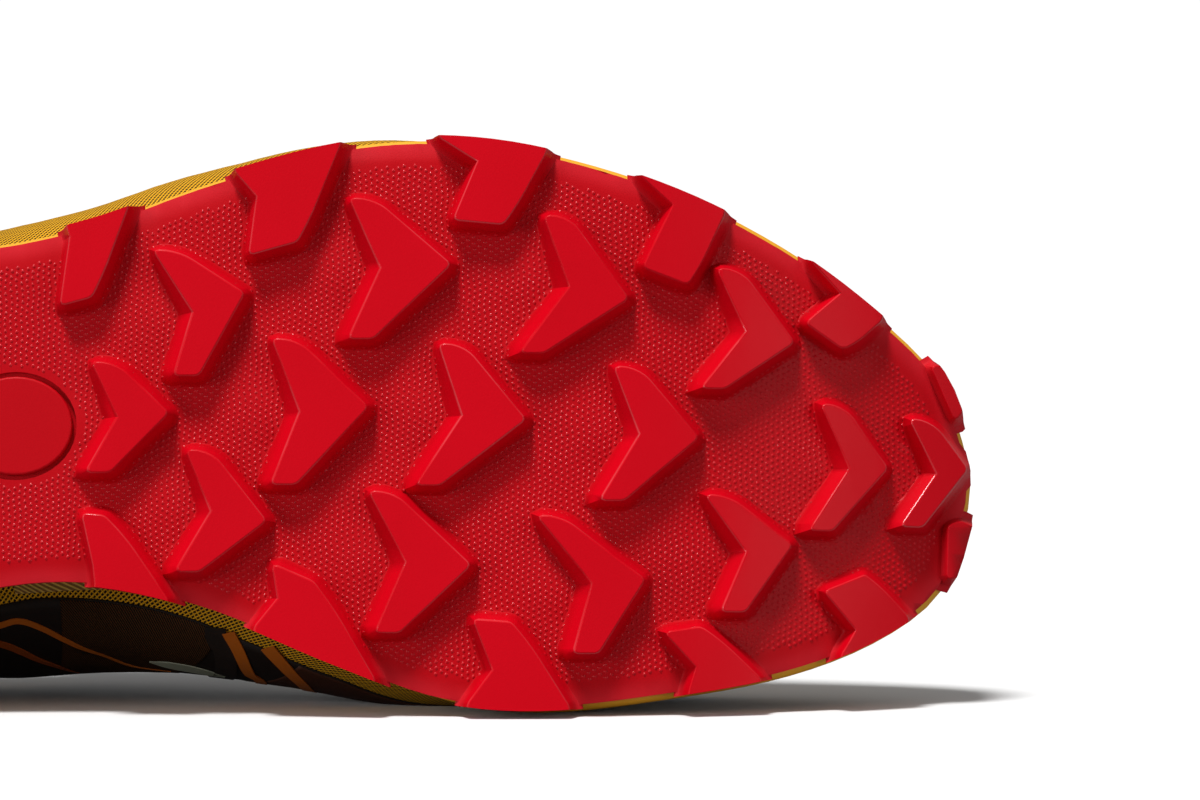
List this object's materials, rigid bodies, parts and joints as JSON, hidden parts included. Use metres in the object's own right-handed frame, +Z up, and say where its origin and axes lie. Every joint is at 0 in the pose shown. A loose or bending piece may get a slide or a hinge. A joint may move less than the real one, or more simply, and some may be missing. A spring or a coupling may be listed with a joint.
{
  "type": "trail running shoe",
  "caption": "Low-cut right trail running shoe lying on its medial side, with a lugged rubber outsole, foam midsole, hollow woven upper, tongue and laces.",
  "frame": {"origin": "on the floor under the middle of the shoe as it lies on its medial side", "axes": "+X from heel to toe, +Y away from the tread towards the collar, +Z up; the lateral side is on top"},
  "size_m": [0.3016, 0.1278, 0.1122],
  "materials": {
    "outsole_rubber": "satin moulded red rubber with a fine dotted ground",
    "midsole_foam": "moulded foam, fine skin",
    "upper_weave": "open woven mesh, golden yellow over black",
    "overlay_film": "dark welded film, low sheen",
    "lining_fabric": "knitted lining, matte",
    "lace_cord": "braided cord, matte"
  },
  "bodies": {
    "root": {"outsole": "outsole_rubber", "midsole": "midsole_foam", "insole": "lining_fabric", "upper": "upper_weave", "toe_rand": "overlay_film", "heel_counter": "overlay_film", "eyestay": "overlay_film", "collar_lining": "lining_fabric", "tongue": "lining_fabric", "laces": "lace_cord"}
  },
  "joints": []
}
